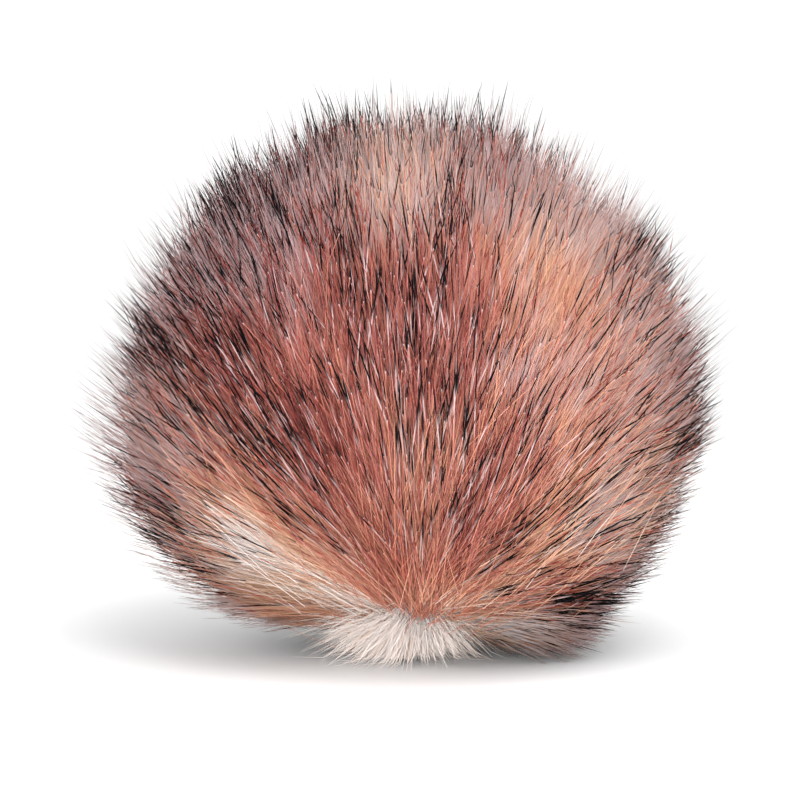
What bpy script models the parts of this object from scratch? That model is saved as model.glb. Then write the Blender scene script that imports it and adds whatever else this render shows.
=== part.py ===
"""Long-pile fur pom pom, standing on its gathered base.

Every lock of fur runs straight out from one gather point near the base. The stuffed ball under the fur
lifts the crown, so a lock reaches one pile length at the level of the gather, and a ball's diameter more
at the crown. Blender 4.5, metres, +Z up. The origin is the middle of the flat base, the front faces -Y.
"""

import math

import bmesh
import bpy
import numpy as np
from mathutils import Vector

NAME = "fur_pom_pom"

# Overall form, in metres
PILE = 0.0470  # how far a lock reaches from the gather, level with it
BALL_DIAMETER = 0.0630  # the stuffed ball, which the crown's locks stand on
GATHER = Vector((0.0, 0.0, 0.0130))  # the point that the locks fan out from
LEAN = math.radians(11)  # the crown leans back from upright by this

# Hem: the angle from straight up at which the long fur ends, round the gather
HEM_MEAN = math.radians(100)
HEM_RIGHT_DROP = math.radians(11)  # lower on the right, higher on the left
HEM_FRONT_LIFT = math.radians(15)  # swept up in front, down at the back
HEM_SIDE_DROP = math.radians(12)  # both sides lower than front and back
HEM_SOFT = math.radians(8)  # over which the fur shortens to the base's

# Bulges that break the round: azimuth from +X, angle from straight up, half width, height
BULGES = (
    {"azimuth": -8, "down": 110, "spread": 17, "height": 0.0125},  # low lobe, right
    {"azimuth": 182, "down": 66, "spread": 22, "height": 0.0050},  # full left side
    {"azimuth": 4, "down": 68, "spread": 18, "height": -0.0030},  # flatter right side
    {"azimuth": 150, "down": 30, "spread": 14, "height": 0.0020},  # left shoulder
)
LUMP_HEIGHT = 0.0011  # uneven all over
LUMP_WAVES = 12
LUMP_PITCH = 9.0  # waves per radian, at most
LUMP_SEED = 7

# Dense mass in which the locks are rooted
MASS_SHARE = 0.76  # of the locks' reach
BASE_REACH = 0.0200  # short fur round the gather, which the floor cuts to a flat disc
UNDERSIDE_HEIGHT = 0.0030  # the mass outside the base stays this far above the floor
MASS_DIVISIONS = 5
MASS_DETAIL = 0.24  # share of the even grid's faces that is kept
FLOOR_BLOCK = 0.30  # cube below the floor that cuts the base flat

# Locks
LOCKS = 305  # spread over the whole ball, of which those clear of the flat base are made
LOCK_BALL_CENTRE = 0.0450  # from the gather, along the lean
LOCK_BALL_RADIUS = 0.0620
LOCK_HALF_WIDTH = 0.0040
LOCK_SIDES = 3
FULL_LENGTH = 0.0480  # a lock shorter than this is thinner in proportion
LOCK_BEND = 0.0030
LOCK_SEED = 21
SAME_PLACE = 1e-6  # points of a lock closer than this are one
LOCK_SHAPE = (  # along the lock: share of its reach, share of its half width
    {"along": 0.60, "width": 0.50},
    {"along": 0.77, "width": 1.00},
    {"along": 0.90, "width": 0.70},
    {"along": 1.00, "width": 0.10},
)
SHORTEST_LOCK = 0.95
LONGEST_LOCK = 1.03

FUR_COLOUR = (0.46, 0.21, 0.165, 1.0)


def lean_axis():
    """The unit vector from the gather to the crown."""
    return Vector((0.0, math.sin(LEAN), math.cos(LEAN)))


def direction(azimuth, down):
    """The unit vector at these degrees from +X, and from straight up."""
    a, d = math.radians(azimuth), math.radians(down)
    return Vector((math.cos(a) * math.sin(d), math.sin(a) * math.sin(d), math.cos(d)))


def lump_waves():
    """Directions, phases and heights of the sine waves that make the fur uneven."""
    rng = np.random.default_rng(LUMP_SEED)
    waves = rng.uniform(-LUMP_PITCH, LUMP_PITCH, (LUMP_WAVES, 3))
    phases = rng.uniform(0, 2 * math.pi, LUMP_WAVES)
    return [(Vector(wave), phase) for wave, phase in zip(waves, phases)]


WAVES = lump_waves()


def lump(way):
    """Height of the uneven surface in this direction: a sum of sine waves."""
    total = sum(math.sin(wave.dot(way) + phase) for wave, phase in WAVES)
    return LUMP_HEIGHT * total / math.sqrt(LUMP_WAVES / 2)


def bulge(way):
    """Height of the named bulges in this direction: round hills that fade out with the angle."""
    height = 0.0
    for row in BULGES:
        angle = way.angle(direction(row["azimuth"], row["down"]))
        height += row["height"] * math.exp(-((angle / math.radians(row["spread"])) ** 2))
    return height


def reach(way):
    """How far the fur's tips stand from the gather: the pile, plus the ball's chord along this direction."""
    return PILE + BALL_DIAMETER * way.dot(lean_axis()) + bulge(way) + lump(way)


def hem_angle(way):
    """The angle from straight up at which the fur ends, below this direction."""
    azimuth = math.atan2(way.y, way.x)
    return (
        HEM_MEAN
        + HEM_RIGHT_DROP * math.cos(azimuth)
        + HEM_FRONT_LIFT * math.sin(azimuth)
        + HEM_SIDE_DROP * math.cos(2 * azimuth)
    )


def smooth_step(x):
    x = min(max(x, 0.0), 1.0)
    return x * x * (3 - 2 * x)


def down_to(height, way, distance):
    """The distance along this direction, cut short where it would go below this height."""
    if way.z >= 0:
        return distance
    return min(distance, (GATHER.z - height) / -way.z)


def share_of_long_fur(way):
    """1 above the hem and 0 below it."""
    down = way.angle(Vector((0, 0, 1)))
    return smooth_step((hem_angle(way) - down) / HEM_SOFT + 0.5)


def mass_distance(way):
    """From the gather to the mass's surface: a share of the locks' reach, or the base's below the hem."""
    outer = down_to(UNDERSIDE_HEIGHT, way, MASS_SHARE * reach(way))
    return BASE_REACH + max(outer - BASE_REACH, 0.0) * share_of_long_fur(way)


def lock_length(way):
    """From the gather to a lock's tip: the reach above the hem, a little past the base fur below it."""
    short = BASE_REACH / MASS_SHARE
    length = short + (reach(way) - short) * share_of_long_fur(way)
    return down_to(0.0, way, length)


def new_object(name, mesh, collection):
    made = bpy.data.objects.new(name, mesh)
    collection.objects.link(made)
    return made


def dense_mass(collection):
    """The fur's dense mass: a sphere whose points are moved to its surface, straight out from the gather."""
    mesh = bpy.data.meshes.new(NAME)
    shape = bmesh.new()
    bmesh.ops.create_icosphere(shape, subdivisions=MASS_DIVISIONS, radius=1.0)
    centre = lean_axis() * LOCK_BALL_CENTRE
    for vertex in shape.verts:
        # Even over the ball, and so crowded neither at the gather nor thin at the crown.
        way = (centre + LOCK_BALL_RADIUS * vertex.co).normalized()
        vertex.co = GATHER + way * mass_distance(way)
    shape.to_mesh(mesh)
    shape.free()
    mesh.shade_smooth()
    return new_object(NAME, mesh, collection)


def lock_points(way, length, bend):
    """Places along one lock, with their half widths, from root to tip. What meets the floor rests on it."""
    thickness = LOCK_HALF_WIDTH * min(length / FULL_LENGTH, 1.0)
    for row in LOCK_SHAPE:
        outside = max(row["along"] - MASS_SHARE, 0.0) / (1 - MASS_SHARE)
        point = GATHER + way * (length * row["along"]) + bend * outside**2
        half_width = thickness * row["width"]
        point.z = max(point.z, half_width)
        yield point, half_width


def lock_directions():
    """Directions from the gather to points spread evenly over the ball, clear of the flat base."""
    centre = lean_axis() * LOCK_BALL_CENTRE
    golden = math.pi * (3 - math.sqrt(5))
    for i in range(LOCKS):
        height = 1 - (2 * i + 1) / LOCKS
        across = math.sqrt(1 - height * height)
        spot = Vector((across * math.cos(i * golden), across * math.sin(i * golden), height))
        way = (centre + spot * LOCK_BALL_RADIUS).normalized()
        if lock_length(way) > BASE_REACH / MASS_SHARE - SAME_PLACE:
            yield way


def lock_section(collection):
    """The section of every lock, for a half width of 1: a triangle."""
    curve = bpy.data.curves.new("lock_section", "CURVE")
    spline = curve.splines.new("POLY")
    spline.points.add(LOCK_SIDES - 1)
    spline.use_cyclic_u = True
    for i, point in enumerate(spline.points):
        turn = 2 * math.pi * i / LOCK_SIDES
        point.co = (math.cos(turn), math.sin(turn), 0.0, 1.0)
    section = new_object("lock_section", curve, collection)
    section.hide_render = True
    return section


def fur_locks(collection):
    """All the locks, as one curve of three-sided tapered splines."""
    curve = bpy.data.curves.new("locks", "CURVE")
    curve.dimensions = "3D"
    curve.bevel_mode = "OBJECT"
    curve.bevel_object = lock_section(collection)
    curve.use_fill_caps = True
    rng = np.random.default_rng(LOCK_SEED)
    for way in lock_directions():
        length = down_to(0.0, way, lock_length(way) * rng.uniform(SHORTEST_LOCK, LONGEST_LOCK))
        sideways = Vector(rng.uniform(-1, 1, 3))
        bend = (sideways - way * sideways.dot(way)) * LOCK_BEND
        spline = curve.splines.new("POLY")
        spline.points.add(len(LOCK_SHAPE) - 1)
        for point, (place, half_width) in zip(spline.points, lock_points(way, length, bend)):
            point.co = (*place, 1.0)
            point.radius = half_width
    return new_object("locks", curve, collection)


def as_mesh(source, collection):
    """A curve object as a closed mesh object, with its caps joined to its sides."""
    graph = bpy.context.evaluated_depsgraph_get()
    mesh = bpy.data.meshes.new_from_object(source.evaluated_get(graph))
    shape = bmesh.new()
    shape.from_mesh(mesh)
    bmesh.ops.remove_doubles(shape, verts=shape.verts, dist=SAME_PLACE)
    bmesh.ops.recalc_face_normals(shape, faces=shape.faces)
    shape.to_mesh(mesh)
    shape.free()
    made = new_object(source.name + "_mesh", mesh, collection)
    made.matrix_world = source.matrix_world
    bpy.data.objects.remove(source)
    return made


def floor_block(collection):
    """What is below the floor, to cut the mass's base flat."""
    bpy.ops.mesh.primitive_cube_add(size=FLOOR_BLOCK, location=(0.0, 0.0, -FLOOR_BLOCK / 2))
    block = bpy.context.object
    block.name = "below_floor"
    for group in list(block.users_collection):
        group.objects.unlink(block)
    collection.objects.link(block)
    return block


def combine(target, operation, tool):
    """Add a Boolean modifier to the target, and show its tool as wire only."""
    tool.hide_render = True
    tool.display_type = "WIRE"
    step = target.modifiers.new(tool.name, "BOOLEAN")
    step.operation = operation
    step.solver = "EXACT"
    step.object = tool


def fur_material():
    made = bpy.data.materials.new("dusty_pink_fur")
    made.use_nodes = True
    shader = made.node_tree.nodes["Principled BSDF"]
    shader.inputs["Base Color"].default_value = FUR_COLOUR
    shader.inputs["Roughness"].default_value = 0.8
    shader.inputs["Metallic"].default_value = 0.0
    return made


def main():
    for old in list(bpy.data.objects):
        bpy.data.objects.remove(old)
    collection = bpy.data.collections.new("pom_pom")
    helpers = bpy.data.collections.new("helpers")
    for group in (collection, helpers):
        bpy.context.scene.collection.children.link(group)

    pom_pom = dense_mass(collection)
    pom_pom.data.materials.append(fur_material())
    thin_out = pom_pom.modifiers.new("fewer_faces", "DECIMATE")
    thin_out.ratio = MASS_DETAIL

    combine(pom_pom, "DIFFERENCE", floor_block(helpers))
    combine(pom_pom, "UNION", as_mesh(fur_locks(helpers), helpers))


main()
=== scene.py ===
"""Looks of the long-pile fur pom pom: its dense underfur, its fibres and the short fluff at its base.

Every fibre runs out from one gather point near the base. Metres, +Z up, the front faces -Y.
"""

import math

import bpy
import numpy as np
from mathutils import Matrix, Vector


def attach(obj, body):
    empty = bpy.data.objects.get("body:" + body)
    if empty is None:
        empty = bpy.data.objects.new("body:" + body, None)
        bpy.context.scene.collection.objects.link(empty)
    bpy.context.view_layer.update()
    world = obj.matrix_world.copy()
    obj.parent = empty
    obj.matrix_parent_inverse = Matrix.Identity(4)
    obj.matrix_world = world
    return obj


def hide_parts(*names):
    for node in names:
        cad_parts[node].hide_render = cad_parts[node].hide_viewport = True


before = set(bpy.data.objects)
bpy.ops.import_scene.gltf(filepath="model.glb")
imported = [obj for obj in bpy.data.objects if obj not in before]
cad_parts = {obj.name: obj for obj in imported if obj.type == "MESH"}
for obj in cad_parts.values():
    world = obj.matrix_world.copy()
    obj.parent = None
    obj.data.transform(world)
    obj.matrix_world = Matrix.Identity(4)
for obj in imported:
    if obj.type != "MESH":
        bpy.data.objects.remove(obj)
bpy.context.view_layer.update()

NODE = "fur_pom_pom"
MM = 0.001

# Form of the fur, as on the solid that it replaces
PILE = 47.0 * MM  # how far the fibres reach from the gather, level with it
BALL_DIAMETER = 63.0 * MM  # the stuffed ball under the fur, which lifts the crown
GATHER = np.array([0.0, 0.0, 13.0]) * MM
LEAN = math.radians(11)
CROWN = np.array([0.0, math.sin(LEAN), math.cos(LEAN)])
HEM_MEAN = math.radians(95)
HEM_RIGHT_DROP = math.radians(11)
HEM_FRONT_LIFT = math.radians(20)
HEM_SIDE_DROP = math.radians(12)
BULGES = (
    {"azimuth": -8, "down": 110, "spread": 17, "height": 12.5 * MM},  # low lobe, right
    {"azimuth": 182, "down": 66, "spread": 22, "height": 5.0 * MM},  # full left side
    {"azimuth": 4, "down": 68, "spread": 18, "height": -3.0 * MM},  # flatter right side
    {"azimuth": 150, "down": 30, "spread": 14, "height": 2.0 * MM},  # left shoulder
    {"azimuth": 0, "down": 2, "spread": 14, "height": 2.0 * MM},  # longer fibres than the solid's, top
    {"azimuth": 0, "down": 50, "spread": 9, "height": 1.5 * MM},  # the same, upper right
    {"azimuth": 180, "down": 50, "spread": 9, "height": -2.5 * MM},  # shorter, upper left
)
# The fur is combed away from these azimuths and angles from straight up, by at most this turn
PARTINGS = (
    {"azimuth": -90, "down": 100, "turn": 22},
    {"azimuth": 180, "down": 135, "turn": 7},
)
SHADING_CENTRE = np.array([0.0, 5.0, 34.0]) * MM  # that the fibres' normals point away from
ROUNDNESS = 0.30  # how much a fibre's own roundness turns its normals from that
BALL_CENTRE = 45.0 * MM  # of the even spread of fibres, from the gather towards the crown
BALL_RADIUS = 62.0 * MM
FLUFF_CENTRE = np.array([0.0, 10.0, 2.0]) * MM  # the same as the shading centre, for the fluff at the base
DENSE_SHARE = 0.74  # of the fibres' reach, where the dense underfur ends

# Front camera
FIELD = 175.0 * MM  # width of the view at the gather
CAMERA_DISTANCE = 0.90
CAMERA_RISE = math.radians(6)
AIM = GATHER + np.array([-3.9, 0.0, 44.2]) * MM

# Tufts: fibres that lean together at their tips
SMALL_TUFTS = 2300
LARGE_TUFTS = 420

# Colour patches as the front camera sees them: millimetres right of the gather and above it, how wide, and
# what they add to the tint (towards blond) and to the depth (towards the darker coral roots, partly painted
# shade)
TINT_PATCHES = (
    {"right": -34, "above": 80, "wide": 27, "tint": -0.18, "deep": -0.03},  # mauve shoulder, left
    {"right": -8, "above": 98, "wide": 14, "tint": 0.32, "deep": -0.16},  # pale crown
    {"right": 31, "above": 84, "wide": 13, "tint": 0.20, "deep": 0.02},  # smooth peach, upper right
    {"right": 46, "above": 60, "wide": 20, "tint": 0.15, "deep": -0.08},  # salmon side, right
    {"right": 4, "above": 41, "wide": 10, "tint": 0.18, "deep": 0.02},  # golden middle
    {"right": 4, "above": 32, "wide": 8, "tint": 0.04, "deep": 0.04},  # a little deeper, below it
    {"right": -11, "above": 13, "wide": 9, "tint": -0.03, "deep": 0.38},  # coral parting, left
    {"right": -1, "above": 11, "wide": 6, "tint": 0.0, "deep": 0.24},
    {"right": 2, "above": 1, "wide": 7, "tint": 0.55, "deep": -0.30},  # cream at the gather
    {"right": 13, "above": 23, "wide": 8, "tint": -0.06, "deep": 0.36},  # coral parting, right
    {"right": 21, "above": 17, "wide": 7, "tint": 0.0, "deep": 0.26},
    {"right": -41, "above": 11, "wide": 15, "tint": 0.42, "deep": -0.08},  # blond, lower left
    {"right": -21, "above": 0, "wide": 9, "tint": 0.50, "deep": -0.18},  # cream underside, left
    {"right": -50, "above": 18, "wide": 10, "tint": 0.36, "deep": -0.24},
    {"right": -58, "above": 42, "wide": 11, "tint": 0.10, "deep": -0.16},  # pale mauve, left rim
    {"right": -46, "above": 54, "wide": 7, "tint": -0.24, "deep": 0.24},  # wine streak, left
    {"right": -26, "above": 44, "wide": 12, "tint": -0.20, "deep": 0.34},  # darker left middle
    {"right": 2, "above": 75, "wide": 14, "tint": -0.08, "deep": 0.04},  # darker upper middle
    {"right": 48, "above": 22, "wide": 18, "tint": 0.38, "deep": -0.18},  # blond, lower right
    {"right": 24, "above": -5, "wide": 10, "tint": 0.50, "deep": -0.28},  # low lobe, right
)
# Clumps of black tips: the same, with the width across and along the fibres and the share of black they add
DARK_CLUMPS = (
    {"right": -43, "above": 92, "across": 6, "along": 9, "dark": 0.9},
    {"right": -42, "above": 66, "across": 5, "along": 8, "dark": 0.5},
    {"right": -60, "above": 56, "across": 7, "along": 9, "dark": 0.35},
    {"right": -21, "above": 106, "across": 7, "along": 7, "dark": 0.7},
    {"right": -17, "above": 82, "across": 3, "along": 10, "dark": 0.4},
    {"right": 8, "above": 85, "across": 3, "along": 9, "dark": 0.8},
    {"right": 14, "above": 67, "across": 3, "along": 8, "dark": 0.5},
    {"right": 33, "above": 98, "across": 7, "along": 6, "dark": 0.3},
    {"right": 52, "above": 78, "across": 6, "along": 8, "dark": 0.3},
    {"right": -1, "above": 66, "across": 3, "along": 9, "dark": 0.5},
    {"right": -36, "above": 34, "across": 3, "along": 7, "dark": 0.9},
    {"right": -30, "above": 17, "across": 3, "along": 7, "dark": 0.6},
    {"right": -30, "above": 43, "across": 4, "along": 7, "dark": 0.5},
    {"right": -62, "above": 23, "across": 5, "along": 7, "dark": 0.3},
    {"right": -56, "above": 14, "across": 5, "along": 6, "dark": 0.3},
    {"right": -54, "above": 44, "across": 8, "along": 9, "dark": 0.1},
    {"right": -19, "above": 10, "across": 2, "along": 6, "dark": 0.4},
    {"right": 61, "above": 36, "across": 5, "along": 6, "dark": 0.3},
    {"right": 39, "above": 4, "across": 4, "along": 8, "dark": 0.15},
    {"right": 32, "above": -13, "across": 4, "along": 4, "dark": 0.2},
    {"right": 24, "above": -6, "across": 5, "along": 8, "dark": -0.8},
    {"right": 46, "above": 62, "across": 12, "along": 14, "dark": -0.12},
    {"right": -16, "above": 7, "across": 2, "along": 10, "dark": 0.6},
    {"right": 5, "above": 29, "across": 3, "along": 7, "dark": 0.3},
    {"right": 22, "above": 14, "across": 2, "along": 5, "dark": 0.6},
    {"right": 42, "above": -4, "across": 4, "along": 7, "dark": 0.1},
    {"right": 30, "above": 84, "across": 11, "along": 14, "dark": -0.9},
    {"right": -38, "above": 9, "across": 9, "along": 13, "dark": -0.6},
    {"right": -28, "above": 1, "across": 6, "along": 16, "dark": -0.9},
    {"right": 45, "above": 22, "across": 9, "along": 11, "dark": -0.2},
    {"right": -50, "above": 18, "across": 6, "along": 8, "dark": -0.5},
    {"right": 28, "above": -12, "across": 4, "along": 4, "dark": -0.1},
    {"right": -66, "above": 35, "across": 14, "along": 8, "dark": -0.3},
    {"right": 62, "above": 26, "across": 12, "along": 8, "dark": -0.15},
)


# The kinds of fibre: how many are spread over the ball before a piece keeps its own, the seed of their
# random draws, how far they lean to their small tuft and how far they stray. The last is how far up the
# crown's line lies the centre of the ball that they are spread over.
KINDS = {
    "underfur": {"count": 80000, "seed": 41, "tidy": 0.25, "stray": 0.020},
    "light_guard_fibres": {"count": 6000, "seed": 42, "tidy": 0.3, "stray": 0.055},
    "black_tipped_fibres": {"count": 30000, "seed": 43, "tidy": 0.2, "stray": 0.042},
    "fine_dark_fibres": {"count": 38000, "seed": 47, "tidy": 0.3, "stray": 0.055},
    "pale_fringe": {"count": 17000, "seed": 48, "tidy": 0.4, "stray": 0.040},
    "base_fluff": {"count": 9000, "seed": 44, "tidy": 0.3, "stray": 0.020, "centre": 0.0},
    "base_wisps": {"count": 5200, "seed": 49, "tidy": 1.3, "stray": 0.050, "centre": 0.0},
    "low_hem_fibres": {"count": 36000, "seed": 50, "tidy": 0.3, "stray": 0.035, "centre": 0.0},
    "long_shafts": {"count": 9000, "seed": 45, "tidy": 0.3, "stray": 0.080},
    "stray_wisps": {"count": 900, "seed": 46, "tidy": 0.2, "stray": 0.050},
}
UNDERFUR_SECTORS = 3


def unit(v):
    """Vectors divided by their own lengths."""
    return v / np.linalg.norm(v, axis=-1, keepdims=True)


def smooth_step(x):
    """0 below 0, 1 above 1, and 3x squared less 2x cubed between."""
    x = np.clip(x, 0.0, 1.0)
    return x * x * (3 - 2 * x)


def direction(azimuth, down):
    """The unit vector at these degrees from +X, and from straight up."""
    a, d = math.radians(azimuth), math.radians(down)
    return np.array([math.cos(a) * math.sin(d), math.sin(a) * math.sin(d), math.cos(d)])


def angle_between(ways, way):
    """Arc cosine of the dot product."""
    return np.arccos(np.clip(ways @ way, -1.0, 1.0))


def angle_between_rows(a, b):
    """Arc cosine of the dot product, row by row."""
    return np.arccos(np.clip((a * b).sum(1), -1.0, 1.0))


def waves(ways, seed, pitch, count=14):
    """Smooth noise over directions: a sum of sines of random dot products, scaled to about -1 to 1."""
    rng = np.random.default_rng(seed)
    pitches = rng.uniform(-pitch, pitch, (count, 3))
    phases = rng.uniform(0, 2 * math.pi, count)
    return np.sin(ways @ pitches.T + phases).sum(1) / math.sqrt(count)


def reach(ways):
    """Distance of the tips from the gather: the pile, plus the ball's chord along the way, plus bulges."""
    distance = PILE + BALL_DIAMETER * (ways @ CROWN)
    for row in BULGES:
        angle = angle_between(ways, direction(row["azimuth"], row["down"]))
        distance = distance + row["height"] * np.exp(-((angle / math.radians(row["spread"])) ** 2))
    return distance


def below_hem(ways):
    """Angle from straight up, less the hem's, a mean plus waves of the azimuth. Negative in the fur."""
    azimuth = np.arctan2(ways[:, 1], ways[:, 0])
    hem = (
        HEM_MEAN
        + HEM_RIGHT_DROP * np.cos(azimuth)
        + HEM_FRONT_LIFT * np.sin(azimuth)
        + HEM_SIDE_DROP * np.cos(2 * azimuth)
    )
    return angle_between(ways, np.array([0.0, 0.0, 1.0])) - hem


def down_to(height, ways, distance):
    """The distance along each way, cut short where it would go below this height."""
    falling = np.minimum(ways[:, 2], -1e-6)
    return np.where(ways[:, 2] < 0, np.minimum(distance, (GATHER[2] - height) / -falling), distance)


def even_ways(count, rng, jitter, centre=BALL_CENTRE):
    """Ways from the gather to points spread evenly over a ball: a golden-angle spiral, a little uneven."""
    i = np.arange(count)
    height = 1 - (2 * i + 1) / count
    across = np.sqrt(1 - height * height)
    turn = i * math.pi * (3 - math.sqrt(5))
    spots = np.stack([across * np.cos(turn), across * np.sin(turn), height], 1)
    spots = unit(spots + rng.normal(0, jitter / math.sqrt(count), (count, 3)))
    return unit(CROWN * centre + spots * BALL_RADIUS)


def nearest(ways, centres):
    """For each way, the number of the centre with the largest dot product, worked out a block at a time."""
    blocks = np.array_split(ways.astype(np.float32), max(len(ways) // 4000, 1))
    centres = centres.astype(np.float32)
    return np.concatenate([(block @ centres.T).argmax(1) for block in blocks])


def turned_to_partings(ways):
    """Ways turned towards each parting: by the most within 45 degrees of it, and less up to 100 degrees."""
    for row in PARTINGS:
        pole = direction(row["azimuth"], row["down"])
        apart = angle_between(ways, pole)
        turn = math.radians(row["turn"]) * smooth_step((math.radians(100) - apart) / math.radians(55))
        turn = np.minimum(turn, 0.7 * apart)
        away = unit(ways - pole * np.cos(apart)[:, None])
        ways = pole * np.cos(apart - turn)[:, None] + away * np.sin(apart - turn)[:, None]
    return ways


def seen_from_front(points):
    """Millimetres right of the gather and above it in the front view, measured at the gather's distance."""
    back = np.array([0.0, -math.cos(CAMERA_RISE), math.sin(CAMERA_RISE)])
    up = np.array([0.0, math.sin(CAMERA_RISE), math.cos(CAMERA_RISE)])

    def projected(p):
        offset = p - AIM - back * CAMERA_DISTANCE
        depth = -offset @ back
        return np.stack([offset[:, 0], offset @ up], 1) * (CAMERA_DISTANCE / depth)[:, None]

    return (projected(points) - projected(GATHER[None])) / MM


def patch_sum(ways, key):
    """Sum of round hills at the colour patches, on where each way's tip is seen from the front."""
    seen = seen_from_front(GATHER + ways * (0.93 * reach(ways))[:, None])
    total = np.zeros(len(ways))
    for row in TINT_PATCHES:
        apart = np.hypot(seen[:, 0] - row["right"], seen[:, 1] - row["above"])
        total += row[key] * np.exp(-((apart / row["wide"]) ** 2))
    return total


def pale_gather(points):
    """A hill, wider than high, for points in front of the gather as they are seen from the front."""
    seen = seen_from_front(points.reshape(-1, 3)).reshape(*points.shape[:-1], 2)
    hill = np.exp(-(((seen[..., 0] - 3.0) / 7.0) ** 2) - ((seen[..., 1] + 0.5) / 3.5) ** 2)
    return np.where(points[..., 1] < 5.0 * MM, hill, 0.0)


def edge_on(ways):
    """1 where the fur's surface is seen edge-on from the front, and 0 where it faces it or faces away."""
    surface = GATHER + ways * reach(ways)[:, None]
    return smooth_step(1 - np.abs(unit(surface - SHADING_CENTRE)[:, 1]) / 0.6)


def clump_sum(ways):
    """Sum of hills at the dark clumps, each longer along the line from the gather in the front view."""
    seen = seen_from_front(GATHER + ways * (0.95 * reach(ways))[:, None])
    total = np.zeros(len(ways))
    for row in DARK_CLUMPS:
        middle = np.array([row["right"], row["above"]])
        line = unit(middle)
        offset = seen - middle
        along = offset @ line
        across = offset @ np.array([-line[1], line[0]])
        total += row["dark"] * np.exp(-((along / row["along"]) ** 2) - (across / row["across"]) ** 2)
    return total


class Tufts:
    """Centres that fibres lean to, each with its own length, tint and darkness."""

    def __init__(self, count, seed):
        rng = np.random.default_rng(seed)
        self.ways = even_ways(count, rng, 2.2)
        self.length = rng.normal(0, 1, count)
        self.tint = rng.normal(0, 1, count)
        self.dark = rng.random(count)
        self.pull = rng.uniform(0.5, 1.0, count)
        self.sway = rng.normal(0, 1, (count, 3))


SMALL = Tufts(SMALL_TUFTS, 11)
LARGE = Tufts(LARGE_TUFTS, 12)


class Fibres:
    """A group of fibres, one row each: ways at the root and the tip, tint, depth, odds of a black tip."""

    ROWS = (
        "root_way",
        "tip_way",
        "tint",
        "deep",
        "dark",
        "edge",
        "tuft_length",
        "tuft_share",
        "reach",
        "below",
        "hidden",
    )

    def __init__(self, count, seed, tidy, stray, centre=BALL_CENTRE):
        rng = np.random.default_rng(seed)
        self.rng = rng
        even = even_ways(count, rng, 2.5, centre)
        small, large = nearest(even, SMALL.ways), nearest(even, LARGE.ways)
        pulled = even + (SMALL.ways[small] - even) * (tidy * SMALL.pull[small])[:, None]
        pulled += (LARGE.ways[large] - pulled) * (0.20 * LARGE.pull[large])[:, None]
        pulled += 0.016 * LARGE.sway[large] + 0.012 * SMALL.sway[small] + rng.normal(0, stray, (count, 3))
        self.tip_way = unit(pulled)
        self.root_way = unit(turned_to_partings(even) + rng.normal(0, 1.2 * stray, (count, 3)))
        self.tint = (
            0.42
            + patch_sum(self.tip_way, "tint")
            + 0.06 * waves(self.tip_way, 31, 9.0)
            + 0.030 * LARGE.tint[large]
            + 0.015 * SMALL.tint[small]
            + rng.normal(0, 0.018, count)
        )
        self.edge = edge_on(self.tip_way)
        self.deep = (
            patch_sum(self.tip_way, "deep")
            + 0.045 * waves(self.tip_way, 33, 14.0)
            + 0.025 * LARGE.sway[large, 0]
            - 0.20 * self.edge
        )
        self.dark = (
            0.09
            - 0.06 * self.tip_way[:, 0]
            + 0.06 * waves(self.tip_way, 32, 12.0)
            + 0.18 * (LARGE.dark[large] > 0.88)
            + 0.18 * (SMALL.dark[small] > 0.88)
        ) * (1 - 0.15 * self.edge) + 0.75 * clump_sum(self.tip_way)
        self.tuft_share = LARGE.dark[large]
        self.tuft_length = 1 + 0.016 * LARGE.length[large] + 0.012 * SMALL.length[small]
        self.reach = reach(self.tip_way)
        self.below = below_hem(even)
        self.hidden = smooth_step(-self.below / math.radians(26))

    def keep(self, chosen):
        """Only the chosen rows."""
        for name in self.ROWS:
            setattr(self, name, getattr(self, name)[chosen])

    def shade(self, distance):
        """The shade at this distance from the gather: 0 deep in the fur, more outwards, less the depth. Low
        shades take the darker coral of the roots, which is partly painted shade.
        """
        share = distance / self.reach
        outward = 0.44 * smooth_step((share - 0.42) / 0.36) + 0.70 * np.maximum(share - 0.78, 0)
        return np.clip(outward - self.deep, 0.02, 0.61)

    def __len__(self):
        return len(self.tint)


def in_the_fur(fibres, soft=3.0):
    """Rows above the hem, which is ragged by a few degrees."""
    ragged = fibres.rng.normal(0, math.radians(soft), len(fibres))
    return fibres.below + ragged < 0


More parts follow.
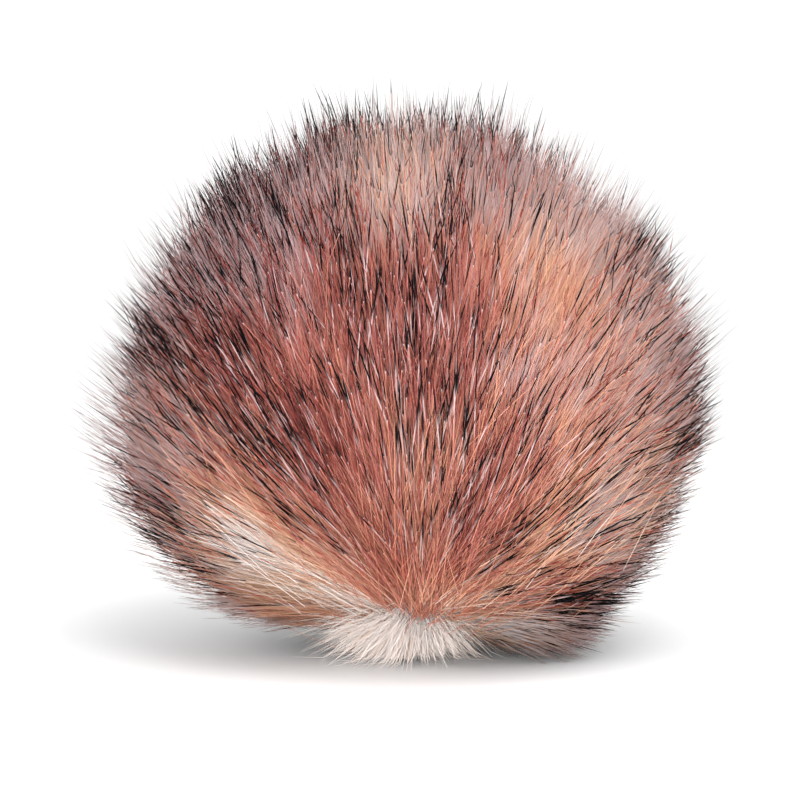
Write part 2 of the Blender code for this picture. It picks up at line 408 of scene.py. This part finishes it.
def fibre_mesh(
    name,
    fibres,
    start,
    end,
    stations,
    widths,
    shades,
    curl=0.0,
    droop=0.0,
    centre=SHADING_CENTRE,
    scatter=1.5 * MM,
):
    """One closed three-sided tapered tube for each fibre, all in one mesh.

    A fibre runs straight from the gather plus its start along the root's way to the gather plus its end
    along the tip's way, with a small curl and a droop that grow as the square of the share of its length.
    Each station's three corners lie round its point at the half width, with a flat side turned outward, and
    the last station is one point. The normals are those of the whole ball, turned a little by the tube's
    own, so that the pile shades smoothly. The map's U is the fibre's tint, and V its shade, root to tip.
    Both turn cream close to the gather.
    """
    rng = fibres.rng
    count, rings = len(fibres), stations.shape[1]
    root = GATHER + fibres.root_way * start[:, None] + rng.normal(0, scatter, (count, 3))
    tip = GATHER + fibres.tip_way * end[:, None]
    spine = root[:, None] + (tip - root)[:, None] * stations[:, :, None]
    spine += np.clip(rng.normal(0, 1, (count, 1, 3)), -2, 2) * (curl * stations**2)[:, :, None]
    spine[:, :, 2] -= droop * stations**2
    spine[:, :, 2] = np.maximum(spine[:, :, 2], 0.3 * MM)

    along = unit(spine[:, -1] - spine[:, 0])
    outward = unit(spine[:, -1] - centre)
    other = unit(np.cross(along, outward + rng.normal(0, 0.10, (count, 3))))
    side = np.cross(other, along)
    turn = 2 * math.pi * (np.arange(3) + 0.5) / 3
    round_it = side[:, None] * np.cos(turn)[None, :, None] + other[:, None] * np.sin(turn)[None, :, None]
    corners = spine[:, :-1, None] + round_it[:, None] * widths[:, :-1, None, None]
    points = np.concatenate([corners.reshape(count, -1, 3), spine[:, -1:]], 1)
    round_normals = np.tile(round_it, (1, rings - 1, 1)) * ROUNDNESS
    round_normals = np.concatenate([round_normals, np.zeros((count, 1, 3))], 1)
    normals = unit(unit(points - centre) + round_normals)

    # One fibre's triangles, as corners (ring, side): the root's cap, its sides in pairs, and the tip.
    faces = [[(0, 2), (0, 1), (0, 0)]]
    for ring in range(rings - 2):
        for s in range(3):
            faces.append([(ring, s), (ring, s + 1), (ring + 1, s + 1)])
            faces.append([(ring, s), (ring + 1, s + 1), (ring + 1, s)])
    faces += [[(rings - 2, s), (rings - 2, s + 1), (rings - 1, s)] for s in range(3)]
    faces = np.array(faces).reshape(-1, 2)
    ring_of, side_of = faces[:, 0], faces[:, 1]
    at_tip = ring_of == rings - 1
    vertex_of = np.where(at_tip, 3 * (rings - 1), 3 * ring_of + side_of % 3)
    triangles = vertex_of[None, :] + points.shape[1] * np.arange(count)[:, None]

    pale = pale_gather(spine)
    tints = np.clip(fibres.tint[:, None] + 0.4 * pale, 0, 1)
    shades = np.where(shades < 0.6, shades + (0.44 - shades) * 0.7 * pale, shades)
    u = 0.02 + 0.94 * tints[:, ring_of] + 0.012 * (side_of + 0.5 * at_tip)[None, :] / 3
    v = shades[:, ring_of]
    v[:, 1] += 0.01
    uv = np.stack([u, v], 2).reshape(-1, 2)
    mesh = triangle_mesh(name, points.reshape(-1, 3), triangles.reshape(-1, 3), uv)
    mesh.normals_split_custom_set_from_vertices(normals.reshape(-1, 3).astype(np.float32))
    return mesh


def triangle_mesh(name, points, triangles, uv=None):
    """A mesh of these triangles, smooth, and where given a map with coordinates for each corner."""
    mesh = bpy.data.meshes.new(name)
    mesh.vertices.add(len(points))
    mesh.vertices.foreach_set("co", points.astype(np.float32).ravel())
    mesh.loops.add(triangles.size)
    mesh.loops.foreach_set("vertex_index", triangles.astype(np.int32).ravel())
    mesh.polygons.add(len(triangles))
    mesh.polygons.foreach_set("loop_start", np.arange(0, triangles.size, 3, dtype=np.int32))
    mesh.polygons.foreach_set("use_smooth", np.ones(len(triangles), bool))
    if uv is not None:
        layer = mesh.uv_layers.new(name="OFBake")
        layer.data.foreach_set("uv", uv.astype(np.float32).ravel())
    mesh.update(calc_edges=True)
    return mesh


def add_piece(name, mesh, material):
    """An object for the mesh, at the origin, on the root body and standing for the fur's solid."""
    mesh.materials.append(material)
    piece = bpy.data.objects.new(name, mesh)
    bpy.context.scene.collection.objects.link(piece)
    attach(piece, "root")
    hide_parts(NODE)


def columns(count, *values):
    """The values side by side, each a number for every row or an array with one number a row."""
    return np.stack([np.broadcast_to(np.asarray(value, float), (count,)) for value in values], 1)


# Pieces


def sector(fibres, number, of):
    """Rows whose azimuth lies in this one of so many equal sectors."""
    azimuth = np.arctan2(fibres.root_way[:, 1], fibres.root_way[:, 0]) / (2 * math.pi) + 0.5
    return np.minimum((azimuth * of).astype(int), of - 1) == number


def underfur(material):
    """Plain fibres without black, a little shorter than the rest, in three sectors."""
    for number in range(UNDERFUR_SECTORS):
        fibres = Fibres(**KINDS["underfur"])
        fibres.keep(in_the_fur(fibres))
        fibres.keep(sector(fibres, number, UNDERFUR_SECTORS))
        n = len(fibres)
        rng = fibres.rng
        end = fibres.reach * fibres.tuft_length - rng.uniform(6.5, 14.0, n) * (1 - 0.3 * fibres.edge) * MM
        end = down_to(0.0, fibres.tip_way, end)
        start = (0.20 + 0.50 * fibres.hidden) * end
        first = 0.45 * fibres.hidden
        stations = columns(n, first, 1)
        widths = columns(n, 0.17 * (1 - first), 0) * MM
        shades = columns(n, fibres.shade(start + first * (end - start)), fibres.shade(end))
        name = f"underfur_{number + 1}"
        add_piece(name, fibre_mesh(name, fibres, start, end, stations, widths, shades), material)


def light_guard_fibres(material):
    """Long fibres that are pale to the tip."""
    fibres = Fibres(**KINDS["light_guard_fibres"])
    fibres.keep(in_the_fur(fibres))
    n = len(fibres)
    rng = fibres.rng
    end = fibres.reach * fibres.tuft_length - rng.uniform(3.0, 9.0, n) * MM
    end = down_to(0.0, fibres.tip_way, end)
    start = (0.25 + 0.45 * fibres.hidden) * end
    first = 0.25 * fibres.hidden
    stations = columns(n, first, 0.6, 1)
    widths = columns(n, 0.06, 0.07, 0) * MM
    shades = columns(n, fibres.shade(start + first * (end - start)), 0.40, 0.46)
    fibres.tint += rng.uniform(0.0, 0.16, n)
    name = "light_guard_fibres"
    mesh = fibre_mesh(name, fibres, start, end, stations, widths, shades, curl=0.8 * MM, scatter=3.0 * MM)
    add_piece(name, mesh, material)


def black_tipped_fibres(material):
    """Long stiff fibres, black over several millimetres up to the tip, a little less black at the edge of
    the pile.
    """
    fibres = Fibres(**KINDS["black_tipped_fibres"])
    likely = np.clip(fibres.dark, 0.03, 1.0)
    fibres.keep(in_the_fur(fibres) & (fibres.rng.random(len(fibres)) < likely))
    n = len(fibres)
    rng = fibres.rng
    end = fibres.reach * fibres.tuft_length * rng.uniform(0.93, 1.01, n)
    end = down_to(0.0, fibres.tip_way, end)
    start = (0.20 + 0.45 * fibres.hidden) * end
    pale = rng.uniform(1.5, 4.0, n) * MM
    black = rng.uniform(2.5, 8.0, n) * MM
    thick = rng.uniform(0.8, 1.3, n) * (1 - 0.35 * fibres.edge)
    blackest = 0.78 - 0.13 * fibres.edge * rng.random(n)
    ends = 1 - pale / (end - start)
    first = 0.25 * fibres.hidden
    begins = np.clip(ends - black / (end - start), first + 0.08, 0.9)
    stations = columns(n, first, begins, 0.5 * (begins + ends), ends, 1)
    widths = columns(n, 0.07, 0.15 * thick, 0.18 * thick, 0.10 * thick, 0) * MM
    shades = columns(n, 0.40, np.minimum(blackest, 0.665), blackest, blackest, blackest - 0.01)
    name = "black_tipped_fibres"
    mesh = fibre_mesh(name, fibres, start, end, stations, widths, shades, curl=0.5 * MM, scatter=2.0 * MM)
    add_piece(name, mesh, material)


def fine_dark_fibres(material):
    """Thinner and shorter fibres, half sunk in the underfur, whose short ends are dark wine or black."""
    fibres = Fibres(**KINDS["fine_dark_fibres"])
    likely = np.clip(0.17 + 0.8 * fibres.dark + 1.2 * np.maximum(fibres.deep, 0), 0.08, 0.8)
    fibres.keep(in_the_fur(fibres) & (fibres.rng.random(len(fibres)) < likely))
    n = len(fibres)
    rng = fibres.rng
    end = fibres.reach * fibres.tuft_length - rng.uniform(3.0, 9.0, n) * MM
    end = down_to(0.0, fibres.tip_way, end)
    start = (0.20 + 0.50 * fibres.hidden) * end
    dark = rng.uniform(1.5, 4.5, n) * MM
    first = 0.25 * fibres.hidden
    begins = np.clip(1 - dark / (end - start), first + 0.10, 0.9)
    stations = columns(n, first, begins - 0.03, begins, 1)
    widths = columns(n, 0.06, 0.09, 0.14, 0) * MM
    black = rng.random(n) < 0.25 + 0.4 * fibres.edge
    fibres.tint -= np.where(black, 0.0, rng.uniform(0.15, 0.40, n))
    at_dark = np.clip(fibres.shade(begins * (end - start) + start), 0.2, 0.5)
    shades = columns(n, at_dark, at_dark, np.where(black, 0.66, 0.03), np.where(black, 0.68, 0.02))
    name = "fine_dark_fibres"
    mesh = fibre_mesh(name, fibres, start, end, stations, widths, shades, curl=0.6 * MM, scatter=2.5 * MM)
    add_piece(name, mesh, material)


def pale_fringe(material):
    """Very thin pale grey fibres, the longest of the pile, which make its edge soft."""
    fibres = Fibres(**KINDS["pale_fringe"])
    fibres.keep(in_the_fur(fibres) & (fibres.rng.random(len(fibres)) < 0.1 + 0.9 * fibres.edge))
    n = len(fibres)
    rng = fibres.rng
    left = np.maximum(-fibres.tip_way[:, 0], 0)
    end = fibres.reach * fibres.tuft_length * (rng.uniform(0.92, 1.03, n) + 0.06 * left**3)
    end = down_to(0.0, fibres.tip_way, end)
    start = 0.45 * end
    stations = columns(n, 0.80, 0.90, 1)
    widths = columns(n, 0.04, 0.055, 0) * MM
    shades = columns(n, 0.56, rng.uniform(0.61, 0.655, n), 0.65)
    mesh = fibre_mesh("pale_fringe", fibres, start, end, stations, widths, shades, curl=0.6 * MM)
    add_piece("pale_fringe", mesh, material)


def dense_fur(material):
    """The close underfur that shows between the fibres.

    A sphere of directions on a grid of azimuth and height, each point at a share of the fibres' reach above
    the hem, drawn in below it to the short fur of the base, with hollows between the small tufts.
    """
    across, high = 120, 84
    azimuth = np.linspace(0, 2 * math.pi, across, endpoint=False)
    height = np.cos(np.linspace(0, math.pi, high))[1:-1]
    spots = np.stack(
        [
            np.outer(np.sqrt(1 - height**2), np.cos(azimuth)),
            np.outer(np.sqrt(1 - height**2), np.sin(azimuth)),
            np.repeat(height[:, None], across, 1),
        ],
        2,
    ).reshape(-1, 3)
    spots = np.concatenate([spots, [[0, 0, 1], [0, 0, -1]]])
    ways = unit(CROWN * BALL_CENTRE + spots * BALL_RADIUS)
    small = nearest(ways, SMALL.ways)
    near = angle_between_rows(ways, SMALL.ways[small])
    full = DENSE_SHARE * reach(ways) * (1.015 - 0.5 * near)
    full = down_to(2.0 * MM, ways, full)
    base = 6.0 * MM
    share = smooth_step(-(below_hem(ways) + math.radians(8)) / math.radians(9))
    points = GATHER + ways * (base + np.maximum(full - base, 0) * share)[:, None]
    points[:, 2] = np.maximum(points[:, 2], 0.0)

    rows = high - 2
    ring, step = np.meshgrid(np.arange(rows - 1), np.arange(across), indexing="ij")
    ring, step = ring.ravel(), step.ravel()
    after = (step + 1) % across
    a, b = ring * across + step, ring * across + after
    c, d = (ring + 1) * across + after, (ring + 1) * across + step
    north, south = rows * across, rows * across + 1
    s = np.arange(across)
    cap = np.stack([np.full(across, north), s, (s + 1) % across], 1)
    last = (rows - 1) * across
    foot = np.stack([np.full(across, south), last + (s + 1) % across, last + s], 1)
    triangles = np.concatenate([np.stack([a, c, b], 1), np.stack([a, d, c], 1), cap, foot])
    add_piece("dense_fur", triangle_mesh("dense_fur", points, triangles), material)


def base_fluff(material):
    """Short cream fibres round the gather, tousled, which turn whiter downwards."""
    fibres = Fibres(**KINDS["base_fluff"])
    left = np.maximum(-fibres.tip_way[:, 0], 0)
    front = np.maximum(-fibres.tip_way[:, 1], 0)
    height = fibres.below + math.radians(10) * left + math.radians(12) * front
    fibres.keep(height > fibres.rng.normal(math.radians(-8), math.radians(7), len(fibres)))
    n = len(fibres)
    rng = fibres.rng
    left, up = np.maximum(-fibres.tip_way[:, 0], 0), fibres.tip_way[:, 2]
    fibres.tint = np.clip(1.0 - 0.26 * smooth_step((up + 0.05) / 0.4) + rng.normal(0, 0.04, n), 0.6, 1.0)
    fibres.root_way = fibres.tip_way
    end = (6.0 + 9.0 * rng.random(n)) * (1 + 0.9 * left) * MM
    end = down_to(0.0, fibres.tip_way, end)
    start = np.full(n, 2.0 * MM)
    stations = columns(n, 0, 0.4, 0.75, 1)
    widths = columns(n, 0.07, 0.09, 0.06, 0) * MM
    shades = columns(n, 0.42, 0.46, 0.48, 0.49)
    bend = {"curl": 3.0 * MM, "droop": 1.0 * MM, "centre": FLUFF_CENTRE}
    mesh = fibre_mesh("base_fluff", fibres, start, end, stations, widths, shades, **bend)
    add_piece("base_fluff", mesh, material)


def base_wisps(material):
    """Longer white fibres round the gather, in thin separate tufts that droop on to the surface below."""
    fibres = Fibres(**KINDS["base_wisps"])
    fibres.keep((fibres.below > math.radians(2)) & (fibres.tuft_share < 0.45))
    n = len(fibres)
    rng = fibres.rng
    fibres.tint = np.clip(rng.normal(0.97, 0.04, n), 0.6, 1.0)
    fibres.root_way = fibres.tip_way
    end = down_to(0.0, fibres.tip_way, rng.uniform(13.0, 24.0, n) * MM)
    start = np.full(n, 3.0 * MM)
    stations = columns(n, 0, 0.4, 0.75, 1)
    widths = columns(n, 0.05, 0.07, 0.05, 0) * MM
    shades = columns(n, 0.44, 0.46, 0.48, 0.49)
    bend = {"curl": 1.5 * MM, "droop": 2.5 * MM, "centre": FLUFF_CENTRE}
    mesh = fibre_mesh("base_wisps", fibres, start, end, stations, widths, shades, **bend)
    add_piece("base_wisps", mesh, material)


def low_hem_fibres(material):
    """More fibres where the fur hangs below the gather, mostly at the right, some with black ends."""
    fibres = Fibres(**KINDS["low_hem_fibres"])
    fibres.keep(in_the_fur(fibres) & (fibres.tip_way[:, 2] < 0.02))
    n = len(fibres)
    rng = fibres.rng
    end = fibres.reach * fibres.tuft_length * rng.uniform(0.84, 1.0, n)
    end = down_to(0.0, fibres.tip_way, end)
    start = 0.22 * end
    black = rng.random(n) < np.clip(fibres.dark, 0.05, 1.0)
    stations = columns(n, 0, 0.72, 0.90, 1)
    widths = columns(n, 0.10, 0.12, 0.08, 0) * MM
    dark_ends = columns(n, 0.40, 0.64, 0.80, 0.78)
    plain = columns(n, *(fibres.shade(distance) for distance in (start, 0.72 * end, 0.9 * end, end)))
    shades = np.where(black[:, None], dark_ends, plain)
    mesh = fibre_mesh("low_hem_fibres", fibres, start, end, stations, widths, shades, curl=0.8 * MM)
    add_piece("low_hem_fibres", mesh, material)


def long_shafts(material):
    """Single long fibres from close to the gather, which show where the fur opens at the front hem."""
    fibres = Fibres(**KINDS["long_shafts"])
    fibres.keep((np.abs(fibres.below + math.radians(14)) < math.radians(14)) & (fibres.tip_way[:, 1] < 0.2))
    n = len(fibres)
    rng = fibres.rng
    end = fibres.reach * rng.uniform(0.50, 0.95, n)
    end = down_to(0.0, fibres.tip_way, end)
    start = np.full(n, 5.0 * MM)
    stations = columns(n, 0, 0.75, 1)
    widths = columns(n, 0.06, 0.07, 0) * MM
    shades = columns(n, rng.uniform(0.15, 0.4, n), 0.44, 0.50)
    fibres.tint += rng.uniform(-0.05, 0.25, n)
    mesh = fibre_mesh("long_shafts", fibres, start, end, stations, widths, shades, curl=1.2 * MM)
    add_piece("long_shafts", mesh, material)


def stray_wisps(material):
    """A few thin fibres that stand out past the rest."""
    fibres = Fibres(**KINDS["stray_wisps"])
    fibres.keep(in_the_fur(fibres, 5.0))
    n = len(fibres)
    rng = fibres.rng
    end = fibres.reach * rng.uniform(0.97, 1.03, n)
    end = down_to(0.0, fibres.tip_way, end)
    start = 0.45 * end
    stations = columns(n, 0.5, 0.7, 0.88, 1)
    widths = columns(n, 0.05, 0.07, 0.05, 0) * MM
    black, grey = columns(n, 0.4, 0.68, 0.85, 0.88), columns(n, 0.45, 0.50, 0.56, 0.60)
    shades = np.where((rng.random(n) < 0.6)[:, None], black, grey)
    mesh = fibre_mesh("stray_wisps", fibres, start, end, stations, widths, shades, curl=1.4 * MM)
    add_piece("stray_wisps", mesh, material)


# Materials


def linear(red, green, blue):
    """A screen colour, 0 to 255, as the linear colour with alpha that shaders take."""
    share = np.array([red, green, blue]) / 255
    return (*np.where(share <= 0.04045, share / 12.92, ((share + 0.055) / 1.055) ** 2.4), 1.0)


def new_node(tree, kind, **inputs):
    """A shader node with some of its inputs set, by socket name."""
    made = tree.nodes.new(kind)
    for name, value in inputs.items():
        made.inputs[name].default_value = value
    return made


def colour_ramp(tree, factor, stops):
    """A colour ramp on a factor, with (position, colour) stops."""
    ramp = tree.nodes.new("ShaderNodeValToRGB")
    elements = ramp.color_ramp.elements
    while len(elements) < len(stops):
        elements.new(0.5)
    for element, (position, colour) in zip(elements, stops):
        element.position = position
        element.color = colour
    tree.links.new(factor, ramp.inputs["Fac"])
    return ramp.outputs["Color"]


def mix_colour(tree, factor, first, second, blend="MIX"):
    """A colour mix of two sockets or colours by a socket or number."""
    node = tree.nodes.new("ShaderNodeMix")
    node.data_type = "RGBA"
    node.blend_type = blend
    for name, value in (("Factor", factor), ("A", first), ("B", second)):
        socket = next(s for s in node.inputs if s.name == name and s.enabled)
        if isinstance(value, bpy.types.NodeSocket):
            tree.links.new(value, socket)
        else:
            socket.default_value = value
    return next(s for s in node.outputs if s.enabled)


def map_range(tree, value, low, high, to_low=0.0, to_high=1.0):
    """A value brought from one range to another, kept inside it."""
    node = tree.nodes.new("ShaderNodeMapRange")
    node.interpolation_type = "SMOOTHSTEP"
    for name, number in (("From Min", low), ("From Max", high), ("To Min", to_low), ("To Max", to_high)):
        node.inputs[name].default_value = number
    tree.links.new(value, node.inputs["Value"])
    return node.outputs["Result"]


BODY_TINTS = (
    (0.00, linear(134, 62, 58)),  # wine
    (0.20, linear(164, 98, 93)),  # mauve
    (0.42, linear(187, 119, 101)),  # dusty salmon
    (0.62, linear(210, 150, 122)),  # peach
    (0.82, linear(232, 187, 156)),  # blond
    (1.00, linear(254, 248, 245)),  # off-white
)
# Darker coral towards the roots: partly the fibres' own colour, partly painted shade deep in the fur
ROOT_AND_SHADE_TINTS = (
    (0.00, linear(80, 34, 31)),
    (0.42, linear(146, 68, 57)),
    (0.70, linear(196, 122, 98)),
    (1.00, linear(244, 230, 222)),
)
TIP_BLACK = linear(12, 8, 10)


def fibre_colour_group():
    """Colour along a fibre: darker coral at the root, partly its own colour and partly painted shade, its
    tint in the middle, greyer above, then black. The lower part is made lighter, painted light that offsets
    the shade deep in the fur.

    Each narrow strip of tint is a little lighter or darker, so that single fibres stand out.
    """
    group = bpy.data.node_groups.new("fibre_colour", "ShaderNodeTree")
    for name in ("Tint", "Along"):
        group.interface.new_socket(name, in_out="INPUT", socket_type="NodeSocketFloat")
    group.interface.new_socket("Colour", in_out="OUTPUT", socket_type="NodeSocketColor")
    inputs = group.nodes.new("NodeGroupInput").outputs
    body = colour_ramp(group, inputs["Tint"], BODY_TINTS)
    # Root colour, partly painted shade deep in the fur
    root = colour_ramp(group, inputs["Tint"], ROOT_AND_SHADE_TINTS)
    from_root = map_range(group, inputs["Along"], 0.05, 0.45)
    colour = mix_colour(group, from_root, root, body)
    # Painted light: below a V of 0.35 the colour is 1.12 times lighter, fading out by 0.52, to offset the
    # shade deep in the fur
    outer = map_range(group, inputs["Along"], 0.35, 0.52)
    lighter = mix_colour(group, 1.0, colour, (1.12, 1.12, 1.12, 1.0), "MULTIPLY")
    colour = mix_colour(group, outer, lighter, colour)
    greyer = map_range(group, inputs["Along"], 0.53, 0.61, 0.0, 0.7)
    colour = mix_colour(group, greyer, colour, linear(190, 174, 177))

    strips = new_node(group, "ShaderNodeTexNoise", Scale=170.0, Detail=0.0)
    strips.noise_dimensions = "1D"
    group.links.new(inputs["Tint"], strips.inputs["W"])
    light = map_range(group, strips.outputs["Fac"], 0.25, 0.75, 0.93, 1.04)
    colour = mix_colour(group, 1.0, colour, light, "MULTIPLY")

    black = map_range(group, inputs["Along"], 0.62, 0.67)
    colour = mix_colour(group, black, colour, TIP_BLACK)
    out = group.nodes.new("NodeGroupOutput")
    group.links.new(colour, out.inputs["Colour"])
    return group


def principled(name):
    """A new material with its tree and its Principled BSDF."""
    made = bpy.data.materials.new(name)
    made.use_nodes = True
    return made, made.node_tree, made.node_tree.nodes["Principled BSDF"]


def fibre_material(colour_group):
    """Silky fibre: its colour is read from the map, U for tint and V along the fibre."""
    made, tree, shader = principled("silky_fibre")
    uv = new_node(tree, "ShaderNodeUVMap")
    uv.uv_map = "OFBake"
    split = new_node(tree, "ShaderNodeSeparateXYZ")
    colour = tree.nodes.new("ShaderNodeGroup")
    colour.node_tree = colour_group
    tree.links.new(uv.outputs["UV"], split.inputs["Vector"])
    tree.links.new(split.outputs["X"], colour.inputs["Tint"])
    tree.links.new(split.outputs["Y"], colour.inputs["Along"])
    tree.links.new(colour.outputs["Colour"], shader.inputs["Base Color"])
    shader.inputs["Roughness"].default_value = 0.6
    shader.inputs["Specular IOR Level"].default_value = 0.05
    return made


def dense_fur_material():
    """Close underfur: coral streaks that run out from the gather, by noise on the direction.

    It turns cream low down near the gather.
    """
    made, tree, shader = principled("dense_fur")
    place = new_node(tree, "ShaderNodeTexCoord")
    offset = new_node(tree, "ShaderNodeVectorMath")
    offset.operation = "SUBTRACT"
    offset.inputs[1].default_value = tuple(GATHER)
    way = new_node(tree, "ShaderNodeVectorMath")
    way.operation = "NORMALIZE"
    tree.links.new(place.outputs["Object"], offset.inputs[0])
    tree.links.new(offset.outputs[0], way.inputs[0])
    streaks = new_node(tree, "ShaderNodeTexNoise", Scale=90.0, Detail=3.0, Roughness=0.6)
    tree.links.new(way.outputs[0], streaks.inputs["Vector"])
    colour = colour_ramp(
        tree,
        streaks.outputs["Fac"],
        (
            (0.30, linear(110, 44, 38)),
            (0.48, linear(170, 92, 78)),
            (0.62, linear(206, 138, 118)),
            (0.75, linear(228, 176, 152)),
        ),
    )
    shader.inputs["Roughness"].default_value = 0.8
    far = new_node(tree, "ShaderNodeVectorMath")
    far.operation = "LENGTH"
    tree.links.new(offset.outputs[0], far.inputs[0])
    near_gather = map_range(tree, far.outputs["Value"], 12.0 * MM, 20.0 * MM, 1.0, 0.0)
    split = new_node(tree, "ShaderNodeSeparateXYZ")
    tree.links.new(place.outputs["Object"], split.inputs["Vector"])
    low = map_range(tree, split.outputs["Z"], 9.0 * MM, 14.0 * MM, 1.0, 0.0)
    both = new_node(tree, "ShaderNodeMath")
    both.operation = "MULTIPLY"
    tree.links.new(near_gather, both.inputs[0])
    tree.links.new(low, both.inputs[1])
    colour = mix_colour(tree, both.outputs[0], colour, linear(240, 224, 214))
    bump = new_node(tree, "ShaderNodeBump", Strength=0.6, Distance=0.001)
    tree.links.new(colour, shader.inputs["Base Color"])
    tree.links.new(streaks.outputs["Fac"], bump.inputs["Height"])
    tree.links.new(bump.outputs["Normal"], shader.inputs["Normal"])
    return made


def studio_floor():
    """Pale floor that curves up into a backdrop: floor, quarter circle and wall, carried sideways."""
    turn = np.linspace(0, math.pi / 2, 24)
    radius, back = 0.5, 0.9
    depth = np.concatenate([[-1.6], back + radius * np.sin(turn), [back + radius]])
    height = np.concatenate([[0.0], radius * (1 - np.cos(turn)), [2.2]])
    sides = np.array([-2.5, 2.5])
    points = np.stack([np.repeat(sides, len(depth)), np.tile(depth, 2), np.tile(height, 2)], 1)
    i = np.arange(len(depth) - 1)
    far = i + len(depth)
    quads = np.stack([i, far, far + 1, i + 1], 1)
    mesh = bpy.data.meshes.new("studio_floor")
    mesh.from_pydata(points.tolist(), [], quads.tolist())
    mesh.shade_smooth()
    made, _, shader = principled("studio_white")
    shader.inputs["Base Color"].default_value = (0.9, 0.9, 0.9, 1.0)
    shader.inputs["Roughness"].default_value = 0.9
    mesh.materials.append(made)
    floor = bpy.data.objects.new("studio_floor", mesh)
    bpy.context.scene.collection.objects.link(floor)


def area_light(name, place, aim, size, power):
    """A square soft light at one point that faces another."""
    data = bpy.data.lights.new(name, "AREA")
    data.size = size
    data.energy = power
    lamp = bpy.data.objects.new(name, data)
    lamp.location = place
    lamp.rotation_euler = (Vector(aim) - Vector(place)).to_track_quat("-Z", "Y").to_euler()
    bpy.context.scene.collection.objects.link(lamp)


def studio_light():
    """Even white surroundings and four soft lights."""
    world = bpy.data.worlds.new("studio")
    world.use_nodes = True
    background = world.node_tree.nodes["Background"]
    background.inputs["Color"].default_value = (1.0, 1.0, 1.0, 1.0)
    background.inputs["Strength"].default_value = 1.0
    bpy.context.scene.world = world
    area_light("key", (0.30, -0.60, 0.90), (0, 0, 0.06), 0.8, 9.0)
    area_light("fill", (-0.70, -0.60, 0.30), (0, 0, 0.06), 0.8, 4.0)
    area_light("front", (0.05, -1.00, 0.10), (0, 0, 0.04), 0.6, 5.0)
    area_light("low", (0.0, -0.80, 0.03), (0, 0, 0.01), 0.3, 2.0)


def front_camera():
    """A long lens a little above the object, aimed left of and above the gather."""
    data = bpy.data.cameras.new("front")
    data.sensor_width = 36.0
    data.lens = data.sensor_width * CAMERA_DISTANCE / FIELD
    data.clip_end = 20.0
    camera = bpy.data.objects.new("front", data)
    back = Vector((0.0, -math.cos(CAMERA_RISE), math.sin(CAMERA_RISE)))
    camera.location = Vector(AIM) + back * CAMERA_DISTANCE
    camera.rotation_euler = (-back).to_track_quat("-Z", "Y").to_euler()
    bpy.context.scene.collection.objects.link(camera)
    bpy.context.scene.camera = camera


def main():
    """Every piece, then the floor, the lights and the camera."""
    fibre = fibre_material(fibre_colour_group())
    dense_fur(dense_fur_material())
    underfur(fibre)
    light_guard_fibres(fibre)
    black_tipped_fibres(fibre)
    fine_dark_fibres(fibre)
    pale_fringe(fibre)
    base_fluff(fibre)
    base_wisps(fibre)
    low_hem_fibres(fibre)
    long_shafts(fibre)
    stray_wisps(fibre)
    studio_floor()
    studio_light()
    front_camera()
    bpy.context.scene.view_settings.view_transform = "Standard"
    # One bounce of light and split boxes keep the render of so many thin fibres short
    bpy.context.scene.cycles.diffuse_bounces = 1
    bpy.context.scene.cycles.debug_use_spatial_splits = True


main()
